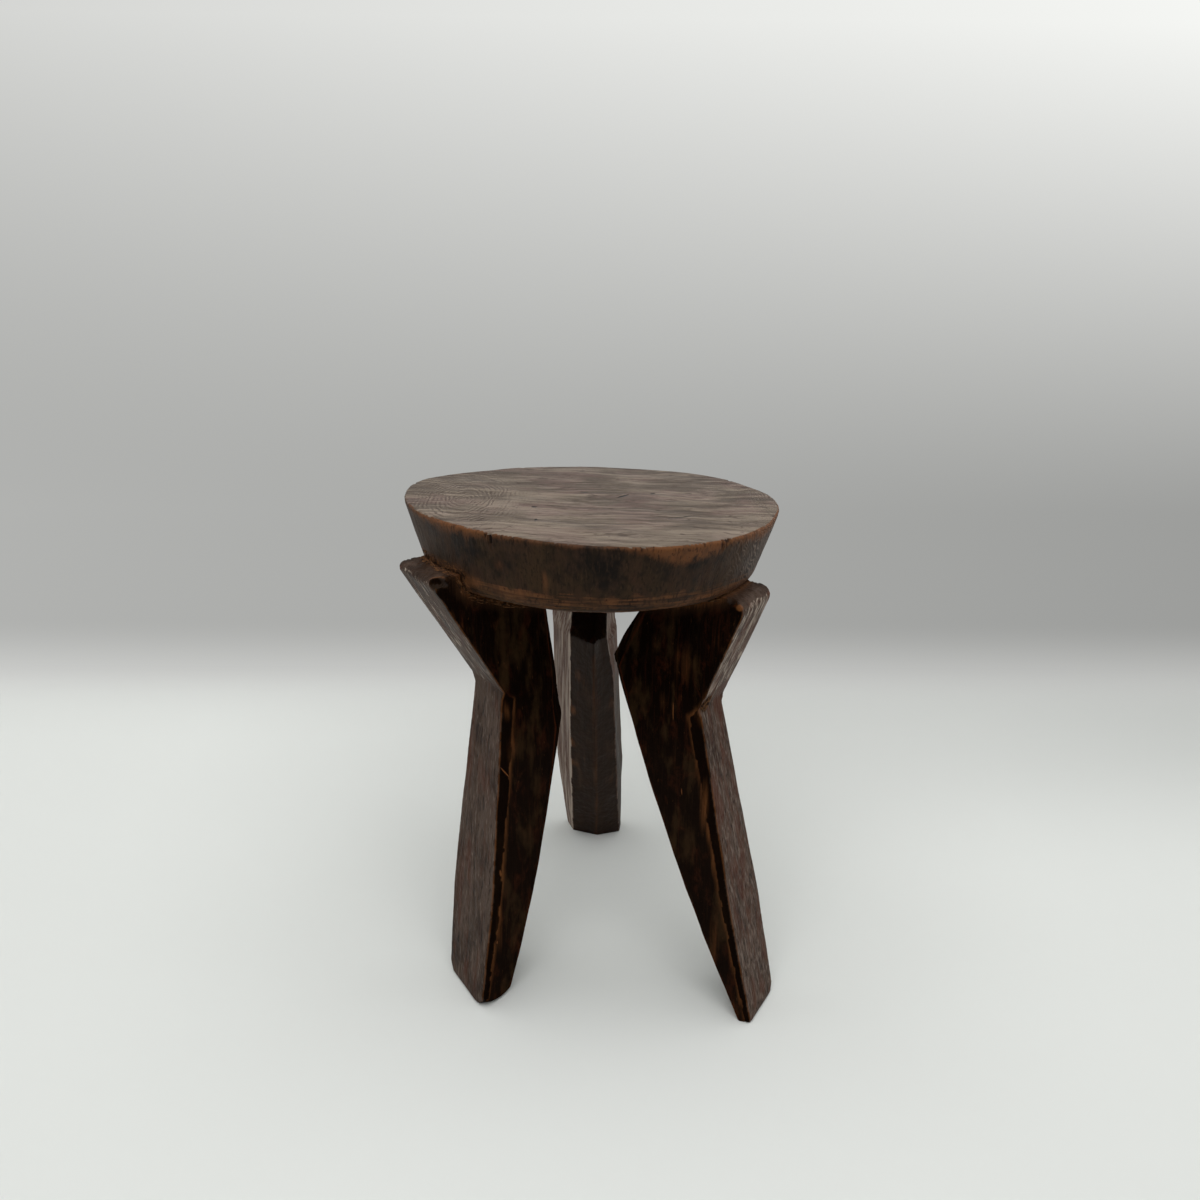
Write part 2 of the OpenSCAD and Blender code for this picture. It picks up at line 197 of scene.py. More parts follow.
class StoolWood(bpy.types.PropertyGroup):
    """Colours of the wood."""
    # Soot is also the colour of the painted shade in the creases, the scoop, under the seat and in the back leg's
    # hollow
    soot: colour("Soot", "#0f0805", "Smoke-darkened wood in the recesses and on the sides")
    brown: colour("Brown", "#362418", "Brown wood under the soot")
    red_brown: colour("Red-brown", "#4a2414", "Heartwood that shows through in streaks")
    rubbed: colour("Rubbed", "#74492a", "Wood laid bare on rubbed edges")
    olive: colour("Olive-brown", "#4a3621", "Thin soot over brown wood on the seat's side")
    # Grey on the legs' outer faces and ledges is partly painted sheen, and grey low on the legs is painted sheen alone
    grey: colour("Grey", "#52433a", "Greyed wood on the outer faces")
    dry: colour("Dry", "#8c7c70", "Dried pale ridges of the grain on the greyed faces")
    # Bleached wood along the back leg's side is partly painted light from the left, with a painted highlight along its
    # edge
    bleached: colour("Bleached", "#aa9b8c", "The palest wood, along the back leg's side")
    fibre: colour("Torn fibres", "#6a482c", "Torn fibres in the creases")
    # The top's tones are lightened and greyed partly as painted sheen
    top_dark: colour("Top, dark", "#3a2e26", "Dark streaks of the seat's top")
    top_brown: colour("Top", "#54473a", "Usual colour of the seat's top")
    top_pale: colour("Top, pale", "#7d6f60", "Pale streaks of the seat's top")
    top_ruddy: colour("Top, ruddy", "#68504a", "Ruddy patches of the seat's top")


class StoolStage(bpy.types.PropertyGroup):
    """The sweep and the light."""
    floor: colour("Floor", "#e1e3e0", "Colour of the floor")
    wall: colour("Wall", "#fdfefb", "Tint of the wall behind the stool")
    top_w: FloatProperty(name="Top light", description="Power of the overhead light", unit="POWER", default=25)
    side_w: FloatProperty(name="Side lights", description="Power of each side light", unit="POWER", default=4)
    fill: FloatProperty(name="Fill", description="Strength of the even light from all round", default=0.09)


class StoolSettings(bpy.types.PropertyGroup):
    """Everything that can be set on the stool."""
    carving: PointerProperty(type=StoolCarving)
    wood: PointerProperty(type=StoolWood)
    stage: PointerProperty(type=StoolStage)


# Small helpers for meshes

def merged_copy(node):
    """A bmesh of a solid's mesh, with the points that its loose triangles share made one."""
    bm = bmesh.new()
    bm.from_mesh(frame["nodes"][node].data)
    bmesh.ops.remove_doubles(bm, verts=bm.verts, dist=0.01 * MM)
    return bm


def link(name, bm):
    """A new object with the shape in a bmesh."""
    mesh = bpy.data.meshes.new(name)
    bm.to_mesh(mesh)
    bm.free()
    piece = bpy.data.objects.new(name, mesh)
    bpy.context.scene.collection.objects.link(piece)
    return piece


def rows_of(node, table):
    """The rows of a table that are for one node, without its name."""
    return [row[1:] for row in table if row[0] == node]


def scooped_copy(node):
    """A bmesh of a solid, less the scoops that a gouge took out of it."""
    rough = link("rough_" + node, merged_copy(node))
    tools = [rough]
    for a, b, radius in rows_of(node, SCOOPS):
        a, b = Vector(a) * MM, Vector(b) * MM
        round_end = bmesh.new()
        bmesh.ops.create_uvsphere(round_end, u_segments=48, v_segments=24, radius=radius * MM,
                                  matrix=(b - a).to_track_quat("Z", "X").to_matrix().to_4x4())
        for v in round_end.verts:
            v.co += b if v.co.dot(b - a) > 0 else a
        tools.append(link("scoop", round_end))
        take_out = rough.modifiers.new("Scoop", "BOOLEAN")
        take_out.operation, take_out.object = "DIFFERENCE", tools[-1]
    bm = bmesh.new()
    bm.from_object(rough, bpy.context.evaluated_depsgraph_get())
    for mesh in [tool.data for tool in tools]:
        bpy.data.meshes.remove(mesh)
    return bm


def regrid(node, solid, grid):
    """A new piece of a solid's shape in an even grid, which carving can move."""
    piece = link("carved_" + node, solid.copy())
    remesh = piece.modifiers.new("Grid", "REMESH")
    remesh.mode = "VOXEL"
    remesh.voxel_size = grid
    rough = piece.data
    even = bpy.data.meshes.new_from_object(piece.evaluated_get(bpy.context.evaluated_depsgraph_get()))
    piece.modifiers.clear()
    piece.data = even
    bpy.data.meshes.remove(rough)
    even.name = piece.name
    even.polygons.foreach_set("use_smooth", [True] * len(even.polygons))
    return piece


def read(items, key, width=3, kind=np.float32):
    """Values of one property of all points, edges or faces, a row for each."""
    values = np.empty(len(items) * width, kind)
    items.foreach_get(key, values)
    return values.reshape(-1, width).astype(float if kind is np.float32 else int)


def move_points(mesh, co):
    mesh.vertices.foreach_set("co", co.astype(np.float32).ravel())
    mesh.update()


def smoothed(mesh, values, rounds):
    """Values at the points after some rounds of averaging with their neighbours."""
    a, b = read(mesh.edges, "vertices", 2, np.int32).T
    n = len(values)
    count = np.maximum(np.bincount(a, minlength=n) + np.bincount(b, minlength=n), 1)
    for _ in range(rounds):
        total = np.stack([np.bincount(a, values[b, k], n) + np.bincount(b, values[a, k], n)
                          for k in range(values.shape[1])], 1)
        values = 0.5 * values + 0.5 * total / count[:, None]
    return values


def ramp(x, low, high):
    """Smooth step of x from 0 at low to 1 at high."""
    t = np.clip((x - low) / (high - low), 0, 1)
    return t * t * (3 - 2 * t)


def store(mesh, name, values):
    mesh.attributes.new(name, "FLOAT", "POINT").data.foreach_set("value", values.astype(np.float32))


def tree_of(points):
    tree = KDTree(max(len(points), 1))
    for i, p in enumerate(points or [(0, 0, -9)]):
        tree.insert(p, i)
    tree.balance()
    return tree


def distances(tree, co, limit=12 * MM):
    """Distance from each point to the nearest point in a search tree, up to a limit."""
    return np.array([min(tree.find(p)[2], limit) for p in co])


def gap_to(tree, co, limit=12 * MM):
    """Distance from each point to the surfaces in a search tree, up to a limit."""
    found = (tree.find_nearest(p, limit)[3] for p in co)
    return np.array([limit if gap is None else gap for gap in found])


def edge_points(bm, wanted):
    """Points along those edges of a solid for which a test holds."""
    found = []
    for e in bm.edges:
        if len(e.link_faces) == 2 and wanted(e):
            a, b = (v.co for v in e.verts)
            n = math.ceil((b - a).length / (0.4 * MM))
            found += [a.lerp(b, i / n) for i in range(n + 1)]
    return found


def solid_tree(nodes):
    """One search tree of the surfaces of some solids."""
    bm = bmesh.new()
    for node in nodes:
        bm.from_mesh(frame["nodes"][node].data)
    tree = BVHTree.FromBMesh(bm)
    bm.free()
    return tree


def seam_points(leg, seat_tree):
    """Points along the line where a leg's faces meet the seat."""
    bm = merged_copy(leg)
    touching = {v: seat_tree.find_nearest(v.co)[3] < TOUCHING for v in bm.verts}

    def on_seam(e):
        if not all(touching[v] for v in e.verts) or (SEAT_TOP - e.verts[0].co).dot(SEAT_AXIS) < 5 * MM:
            return False
        near = [seat_tree.find_nearest(f.calc_center_median())[3] < TOUCHING for f in e.link_faces]
        return near[0] != near[1]

    found = edge_points(bm, on_seam)
    bm.free()
    return found


def reach_from(co, a, b):
    """Distance in mm from each point to the line between two places in mm."""
    a, b = np.array(a, float), np.array(b, float)
    off = co / MM - a
    t = np.clip(off @ (b - a) / ((b - a) @ (b - a)), 0, 1)
    return np.linalg.norm(off - t[:, None] * (b - a), axis=1)


def waves(co, size, offset=0.0):
    """Soft noise, about -1 to 1, with waves of the given size in metres, or sizes in x, y and z."""
    p = co / np.asarray(size) + offset
    return np.array([noise.noise(v) for v in p])


def hollows(co, size, offset):
    """Shallow hollows with ridges between them, as an adze leaves: -0.3 in the middle to about 0.5."""
    p = co / np.asarray(size) + offset
    near = np.array([noise.voronoi(v)[0][0] for v in p])
    return near * near - 0.3


def spots(co, places):
    """How much of soft round spots there is at each point, from their middles, sizes and shares."""
    total = np.zeros(len(co))
    for middle, width, height, share in places:
        off = (co - np.array(middle) * MM) / (np.array((width, width, height)) * MM)
        total = np.maximum(total, share * np.exp(-(off ** 2).sum(1)))
    return total


class StoolPiece:
    """What the seat and the legs have in common when they are carved."""

    def begin(self, context, node, grid):
        """Lays an even grid on the solid's faces, with its lines on the sharp edges."""
        self.node = node
        self.s = context.scene.stool.carving
        # The noise that edges stray by starts from the clock if it isn't given a start
        noise.seed_set(self.s.seed)
        self.solid = scooped_copy(node)
        self.piece = regrid(node, self.solid, grid)
        self.mesh = self.piece.data
        tree = BVHTree.FromBMesh(self.solid)
        sharp = tree_of(edge_points(self.solid, lambda e: e.calc_face_angle() > SHARP))
        found = [tree.find_nearest(p) for p in read(self.mesh.vertices, "co")]
        self.facing = np.array([f[1] for f in found])
        edges = [sharp.find(f[0]) for f in found]
        self.on_edge = np.array([e[2] < SNAP * grid for e in edges])
        co = np.array([e[0] if near else f[0] for near, e, f in zip(self.on_edge, edges, found)])
        self.gap = gap_to(solid_tree(LEGS if node == "seat" else ("seat",)), co)
        self.free = ramp(self.gap, 0.7 * MM, 6 * MM)
        return co

    def wear_edges(self, co, rounds):
        """Rounds the edges by an amount that varies along them, and lets them waver as hand-cut edges do."""
        soft = smoothed(self.mesh, co, rounds)
        share = self.s.wear * np.clip(0.6 + 0.9 * waves(co, 15 * MM, 3.1), 0.1, 1)
        stray = np.array([noise.noise_vector(p) for p in co / (26 * MM) + 4.7])
        co = co + ((soft - co) * share[:, None] + self.s.waver * stray) * self.free[:, None]
        move_points(self.mesh, co)
        return co

    def mean_at_faces(self, values):
        """The mean of the points' values at each face of the mesh."""
        corners = read(self.mesh.loops, "vertex_index", 1, np.int32)[:, 0]
        starts = read(self.mesh.polygons, "loop_start", 1, np.int32)[:, 0]
        return np.add.reduceat(values[corners], starts) / np.diff(np.append(starts, len(corners)))

    def close_up(self):
        """Takes out edges and faces that the move to the sharp edges has left without a size."""
        bm = bmesh.new()
        bm.from_mesh(self.mesh)
        bmesh.ops.dissolve_degenerate(bm, dist=0.06 * MM, edges=bm.edges)
        bm.to_mesh(self.mesh)
        bm.free()

    def finish(self, *materials):
        self.solid.free()
        self.mesh.materials.clear()
        for material in materials:
            self.mesh.materials.append(bpy.data.materials[material])
        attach(self.piece, "root")
        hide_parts(self.node)


class STOOL_OT_seat(bpy.types.Operator, StoolPiece):
    """Carve the seat: a warped, worn top, a hewn side and a chipped rim"""
    bl_idname = "stool.seat"
    bl_label = "Carve the seat"

    def execute(self, context):
        co = self.begin(context, "seat", context.scene.stool.carving.seat_grid)
        s = self.s
        axis = np.array(SEAT_AXIS)
        seat_tree = solid_tree(("seat",))
        seam = [p for leg in LEGS for p in seam_points(leg, seat_tree)]
        crease = distances(tree_of(seam), co)
        flat = (self.facing @ axis > 0.97) & ((np.array(SEAT_TOP) - co) @ axis < 4 * MM)
        co = self.wear_edges(co, 1)

        rel = co - np.array(SEAT_TOP)
        height = rel @ axis
        reach = np.hypot(rel[:, 0], rel[:, 1])
        turn = np.arctan2(rel[:, 1], rel[:, 0])
        no = read(self.mesh.vertices, "normal")
        up = flat * 1.0
        side = ramp(reach, 0.08, 0.095) * (1 - up)
        under = 1 - np.maximum(side, up)

        # The green block warped as it dried, and the carver's outline isn't quite round
        way, out, lift = np.array(RIM_SHAPE).T
        share = s.warp * MM * (reach / SEAT_R) ** 2 * ramp(height, -40 * MM, -4 * MM)
        co = co + (np.interp(np.degrees(turn), way, lift) * share)[:, None] * axis
        co[:, :2] += (np.interp(np.degrees(turn), way, out) * share / np.maximum(reach, MM))[:, None] * rel[:, :2]

        # Hewn side: upright hollows between faint ridges. Worn top: long shallow waves.
        hew = s.hew_d * hollows(co, (1.2 * s.hew_w, 1.2 * s.hew_w, 2 * s.hew_l), 5.7)
        top = s.top_d * (waves(co, (70 * MM, 24 * MM, 50 * MM), 1.3) + 0.5 * waves(co, 13 * MM, 8.2))
        belly = 0.5 * s.hew_d * hollows(co, 1.6 * s.hew_w, 2.2)
        fine = 0.10 * MM * waves(co, (2.4 * MM, 2.4 * MM, 14 * MM), 4.4) * (1 - up)
        inland = ramp(reach, SEAT_R, SEAT_R - 8 * MM)
        relief = hew * side * ramp(height, -2 * MM, -9 * MM) + top * up * inland + belly * under + fine
        co = co + (relief * self.free)[:, None] * no

        # Chips and a short split in the rim
        chip = np.zeros(len(co))
        for place, width, depth, down in RIM_CHIPS:
            away = (turn - math.radians(place) + math.pi) % (2 * math.pi) - math.pi
            shape = 1 - np.hypot(away * SEAT_R / (width * MM), (height + 1 * MM) / (down * MM))
            shape = ramp(shape + 0.35 * waves(co, 2.5 * MM, place), 0, 0.5) * (reach > 0.09)
            co[:, :2] -= (depth * MM * shape / reach)[:, None] * rel[:, :2]
            chip = np.maximum(chip, shape * min(1, depth / 1.4))
        move_points(self.mesh, co)

        bare, down = np.array(RUBBED_RIM).T
        store(self.mesh, "rim", -height / MM - np.interp(np.degrees(turn), bare, down))
        store(self.mesh, "drop", -height / MM)
        store(self.mesh, "crease", crease / MM)
        store(self.mesh, "chip", chip)
        store(self.mesh, "spot", spots(co, SEAT_SPOTS))
        store(self.mesh, "dust", np.interp(np.degrees(turn), *np.array(DUSTY_SIDE).T))
        self.finish("Smoked hardwood, side", "Worn hardwood, top")

        # The top's faces take the top's wood, up to the rim's edge
        votes = self.mean_at_faces(np.where(self.on_edge, 0.0, np.where(flat, 1.0, -1.0)))
        middle = read(self.mesh.polygons, "center")
        high = np.array([seat_tree.find_nearest(p)[1].dot(SEAT_AXIS) > 0.97 for p in middle]) \
            & ((middle - np.array(SEAT_TOP)) @ axis > -6 * MM)
        on_top = np.where(votes == 0, high, votes > 0)
        self.mesh.polygons.foreach_set("material_index", on_top.astype(np.int32))
        self.close_up()
        return {"FINISHED"}


class STOOL_OT_legs(bpy.types.Operator, StoolPiece):
    """Carve the three legs: hewn faces, flats struck off the corners, rubbed edges"""
    bl_idname = "stool.legs"
    bl_label = "Carve the legs"

    def execute(self, context):
        self.seat_tree = solid_tree(("seat",))
        for k, leg in enumerate(LEGS):
            self.carve(context, leg, k)
        return {"FINISHED"}

    def face_kind(self, no):
        """Which of a leg's faces has this direction: its outer face, a struck flat, a side, the inside below the knee,
        the hollow above it, or a ledge."""
        away, across, up = no.dot(self.outward), no.dot(self.across), no.z
        if abs(up) > 0.62:
            return "ledge"
        if away > 0.82:
            return "outer"
        if away < -0.5:
            return "hollow" if up > 0.05 else "inside"
        return "flat" if away > 0.15 else "side"

    def carve(self, context, leg, k):
        co = self.begin(context, leg, context.scene.stool.carving.leg_grid)
        s = self.s
        foot = Vector(MOUNTS[leg.replace("leg", "foot")]["pos_m"]) - SEAT_TOP
        self.outward = Vector((foot.x, foot.y, 0)).normalized()
        self.across = Vector((-self.outward.y, self.outward.x, 0))
        crease = distances(tree_of(seam_points(leg, self.seat_tree)), co)
        kind_of = {f: self.face_kind(f.normal) for f in self.solid.faces}

        def between(*kinds):
            """Distance from each point to the edges between faces of these kinds."""
            def wanted(e):
                met = {kind_of[f] for f in e.link_faces}
                return len(met) == 2 and met <= set(kinds) and e.is_convex
            return distances(tree_of(edge_points(self.solid, wanted)), co)

        arris = between("outer", "flat")
        band = between("flat", "side")
        knee = np.minimum(between("side", "inside"), between("side", "hollow"))

        # Each face's own wood, up to a border that wavers a little
        tree = BVHTree.FromBMesh(self.solid)
        stray = np.array([noise.noise_vector(p) for p in co / (9 * MM)]) * 0.5 * MM
        kinds = [self.face_kind(tree.find_nearest(p)[1]) for p in co + stray]
        # The first mask greys each face, partly for dust and partly as painted sheen; the second marks the front legs'
        # struck flats
        masks = np.array([(GREYED[leg].get(kind, 0), kind == "flat" and leg != "back_leg") for kind in kinds], float)
        masks = smoothed(self.mesh, masks, 1)
        if leg == "back_leg":
            # The right border of its hollow stands further in
            share = ramp(co[:, 0], -3 * MM, 6 * MM) * ramp(co[:, 0], 14 * MM, 10.5 * MM)
            co[:, 0] -= 3.7 * MM * share * ramp(co[:, 2], 175 * MM, 225 * MM) * self.free
        co = self.wear_edges(co, 3)

        no = read(self.mesh.vertices, "normal")
        grain = co + (leg == "back_leg") * BACK_SLOPE * co[:, 2:] * (0, 1, 0)
        hew = s.hew_d * hollows(grain, (s.hew_w, s.hew_w, s.hew_l), 9.1 + 3 * k)
        fine = 0.05 * MM * waves(grain, (3 * MM, 3 * MM, 20 * MM), 6.3 + k)
        low = ramp(co[:, 2], 0.0, 3 * MM)
        co = co + ((hew + fine) * self.free * low)[:, None] * no
        for at, size in rows_of(leg, WORN_FEET):
            off = co - np.array(at) * MM
            pull = np.minimum(1, size * MM / np.linalg.norm(off, axis=1)) - 1
            co = co + (pull * ramp(off[:, 2], 0, -0.6 * at[2] * MM))[:, None] * off
        for at, size, depth in rows_of(leg, BLUNT):
            near = np.linalg.norm(co - np.array(at) * MM, axis=1) / (size * MM)
            co = co - (depth * MM * np.clip(1 - near * near, 0, 1) ** 2)[:, None] * no
        co[:, 2] = np.maximum(co[:, 2], 0.0)
        move_points(self.mesh, co)

        # Painted shade inside the scoop and at the shade spots, and a rubbed lip round the scoop
        bowl, lip = np.zeros(len(co)), np.zeros(len(co))
        for a, b, radius in rows_of(leg, SCOOPS):
            far = reach_from(co, a, b) - radius
            bowl = np.maximum(bowl, 0.55 * ramp(far, 0.9, 0.3))
            lip = np.maximum(lip, ramp(far, 2.4, 1.2) * ramp(far, 0.3, 0.9) * ramp(co[:, 2] / MM, a[2] - 2, a[2] + 1))
        bowl = np.maximum(bowl, spots(co, LEG_SHADE))
        spot = spots(co, LEG_SPOTS)
        if leg == "back_leg":
            # A lighter band runs down its inner ridge, from x -3 mm at the hollow to x 0 at the foot, and its right
            # side is greyed less lower down
            off = (co[:, 0] - (0.5 * MM - 0.016 * co[:, 2])) / (2.6 * MM)
            ridge = np.exp(-off ** 2) * (self.facing[:, 1] < -0.3) * ramp(co[:, 2], 220 * MM, 205 * MM)
            spot = np.maximum(spot, 0.6 * ridge)
            lower = ramp(co[:, 2] + 12 * MM * waves(co, 14 * MM), 235 * MM, 120 * MM)
            masks[:, 0] *= 1 - 0.55 * ramp(self.facing[:, 0], 0.5, 0.8) * lower
        else:
            masks[:, 0] *= 1 - np.minimum(1, bowl)

        for name, values in (("arris", arris / MM), ("band", band / MM), ("knee", knee / MM),
                             ("crease", crease / MM), ("greyed", masks[:, 0]), ("flat", masks[:, 1]),
                             ("spot", spot), ("bowl", bowl), ("lip", lip)):
            store(self.mesh, name, values)
        self.finish("Smoked hardwood, sheltered", "Smoked hardwood, greyed")
        share = self.mean_at_faces(masks[:, 0])
        self.mesh.polygons.foreach_set("material_index", (share > 0.25).astype(np.int32))
        self.close_up()


class STOOL_OT_fibres(bpy.types.Operator):
    """Lay torn fibres in the creases between the seat and the front legs"""
    bl_idname = "stool.fibres"
    bl_label = "Tear the fibres"

    def execute(self, context):
        s = context.scene.stool.carving
        draw = random.Random(s.seed)
        seat = bpy.data.objects["carved_seat"].data
        for leg, count, reach in TORN_CREASES:
            own = bpy.data.objects["carved_" + leg].data
            lo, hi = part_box(leg)
            roots = []
            for mesh in (seat, own):
                far = read(mesh.attributes["crease"].data, "value", 1)[:, 0]
                roots += [(v.co.copy(), v.normal.copy()) for v, mm in zip(mesh.vertices, far) if 0.4 < mm < reach]
            roots = [root for root in roots if all(lo[i] - 10 * MM < root[0][i] < hi[i] + 10 * MM for i in (0, 1))]
            bm = bmesh.new()
            self.tuft(bm, roots, count, s, draw)
            if leg == "right_leg":
                place, size, count = TORN_NOTCH
                near = [(v.co.copy(), v.normal.copy()) for v in own.vertices
                        if (v.co - Vector(place) * MM).length < size * MM]
                self.tuft(bm, near, count, s, draw, Vector(ARM_GRAIN).normalized())
            piece = link(leg.replace("leg", "torn_fibres"), bm)
            piece.data.polygons.foreach_set("use_smooth", [True] * len(piece.data.polygons))
            piece.data.materials.append(bpy.data.materials["Torn fibres"])
            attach(piece, "root")
        return {"FINISHED"}

    def tuft(self, bm, roots, count, s, draw, grain=None):
        """Fibres from root to root, along the grain where one is given."""
        tree = tree_of([r[0] for r in roots])
        for _ in range(count):
            at, no = roots[draw.randrange(len(roots))]
            far = s.fibre_l * draw.uniform(0.5, 1.4)
            ends = [roots[i] for _, i, d in tree.find_range(at, far) if d > 0.8 * far and roots[i][1].dot(no) > 0.7]
            if grain:
                ends = [end for end in ends if abs((end[0] - at).normalized().dot(grain)) > 0.85]
            if ends:
                end = draw.choice(ends)
                self.splinter(bm, at, end[0], (no + end[1]).normalized(), s.fibre_r * draw.uniform(0.5, 1.2), draw)

    def splinter(self, bm, a, b, no, radius, draw):
        """A four-sided fibre, pointed at both ends, that lies along the wood and lifts a little near its middle."""
        along = b - a
        turn = along.to_track_quat("Z", "X").to_matrix().to_4x4()
        place = Matrix.Translation((a + b) / 2) @ turn @ Matrix.Diagonal((radius, radius, along.length / 2, 1))
        made = bmesh.ops.create_uvsphere(bm, u_segments=4, v_segments=7, radius=1, matrix=place)["verts"]
        lift, peak = draw.uniform(0.0, 1.6) * radius, draw.uniform(-0.5, 0.5)
        for v in made:
            t = 2 * (v.co - (a + b) / 2).dot(along) / along.length_squared
            v.co += no * lift * max(0.0, 1 - (t - peak) ** 2)


# Wood. Sizes in the materials are in millimetres.

def add(tree, kind, inputs=(), out=0, **settings):
    """Adds a shader node with its settings and its inputs, each a value or another node's output. Gives one of its
    outputs, or the node itself where out is None."""
    made = tree.nodes.new("ShaderNode" + kind)
    for name, value in settings.items():
        setattr(made, name, value)
    for key, value in (inputs.items() if isinstance(inputs, dict) else enumerate(inputs)):
        if isinstance(value, bpy.types.NodeSocket):
            tree.links.new(value, made.inputs[key])
        else:
            made.inputs[key].default_value = value
    return made if out is None else made.outputs[out]


def new_wood(name, *stored):
    """A new material's node tree, the places in the log in millimetres, and values that the mesh stores by name."""
    material = bpy.data.materials.new(name)
    material.use_nodes = True
    tree = material.node_tree
    tree.nodes.clear()
    place = add(tree, "TexCoord", out="Object")
    place = add(tree, "Mapping", {0: place, "Scale": (1000, 1000, 1000)})
    return tree, place, *(add(tree, "Attribute", attribute_name=key, out="Fac") for key in stored)


def figure(tree, place, size, offset=0.0, detail=4.0, warp=0.0, crisp=0.58):
    """Figure in the wood: noise with features of the given sizes along x, y and z."""
    at = add(tree, "Mapping", {0: place, "Location": (offset, 2 * offset, 3 * offset),
                               "Scale": tuple(1 / v for v in size)})
    return add(tree, "TexNoise", {"Vector": at, "Scale": 1.0, "Detail": detail, "Roughness": crisp, "Distortion": warp})


def wandering(tree, place, size, reach):
    """Places moved about by soft noise, so that lines laid out on them wander."""
    soft = add(tree, "TexNoise", {"Vector": place, "Scale": 1 / size, "Detail": 2.0}, out="Color")
    off = add(tree, "VectorMath", (soft, (0.5, 0.5, 0.5)), operation="SUBTRACT")
    return add(tree, "VectorMath", (off, (reach, reach, reach), place), operation="MULTIPLY_ADD")


def lines(tree, way, gap):
    """Soft lines a gap apart along a way through the wood, from -1 to 1."""
    turns = add(tree, "Math", (way, 2 * math.pi / gap), operation="MULTIPLY")
    return add(tree, "Math", (turns,), operation="SINE")


def mark(tree, place, middle, turn, size):
    """A narrow mark: 0 outside it, 1 in its middle."""
    at = add(tree, "Mapping", {0: place, "Location": middle, "Rotation": turn, "Scale": size}, vector_type="TEXTURE")
    far = add(tree, "VectorMath", (at,), operation="LENGTH", out="Value")
    return add(tree, "MapRange", (far, 1.0, 0.5))


def cut(tree, place, a, b, half_width):
    """A narrow mark from one place to another."""
    a, b = Vector(a), Vector(b)
    turn = (b - a).to_track_quat("X", "Z").to_euler()
    return mark(tree, place, (a + b) / 2, turn, ((b - a).length / 2, half_width, half_width))


def meeting(tree, *patterns):
    """Where several patterns meet: their product."""
    total, *rest = patterns
    for other in rest:
        total = add(tree, "Math", (total, other), operation="MULTIPLY")
    return total


def strongest(tree, *patterns):
    """Where any of several patterns is."""
    total, *rest = patterns
    for other in rest:
        total = add(tree, "Math", (total, other), operation="MAXIMUM")
    return total


def summed(tree, base, *more):
    """A pattern with others added, each with its weight."""
    for pattern, weight in more:
        base = add(tree, "Math", (pattern, weight, base), operation="MULTIPLY_ADD")
    return base


def stained(tree, tone, *coats):
    """A colour under several coats. Each coat is a tone, the pattern it follows or several that meet, the values
    between which it sets in, and how much of it lies there in the end."""
    for over, pattern, low, high, share in coats:
        pattern = meeting(tree, *pattern) if isinstance(pattern, tuple) else pattern
        amount = add(tree, "MapRange", (pattern, low, high, 0.0, share), interpolation_type="SMOOTHSTEP")
        tone = add(tree, "Mix", {0: amount, 6: tone, 7: (*over, 1)}, data_type="RGBA", out=2)
    return tone


def polish(tree, tone, roughness, gloss, height, depth):
    """The wood's surface: its colour, its sheen and its fine relief."""
    bump = add(tree, "Bump", {"Strength": 1.0, "Distance": depth * MM, "Height": height})
    wood = add(tree, "BsdfPrincipled", {"Base Color": tone, "Roughness": roughness, "IOR": 1.5,
                                        "Specular IOR Level": gloss, "Normal": bump})
    add(tree, "OutputMaterial", (wood,), out=None)


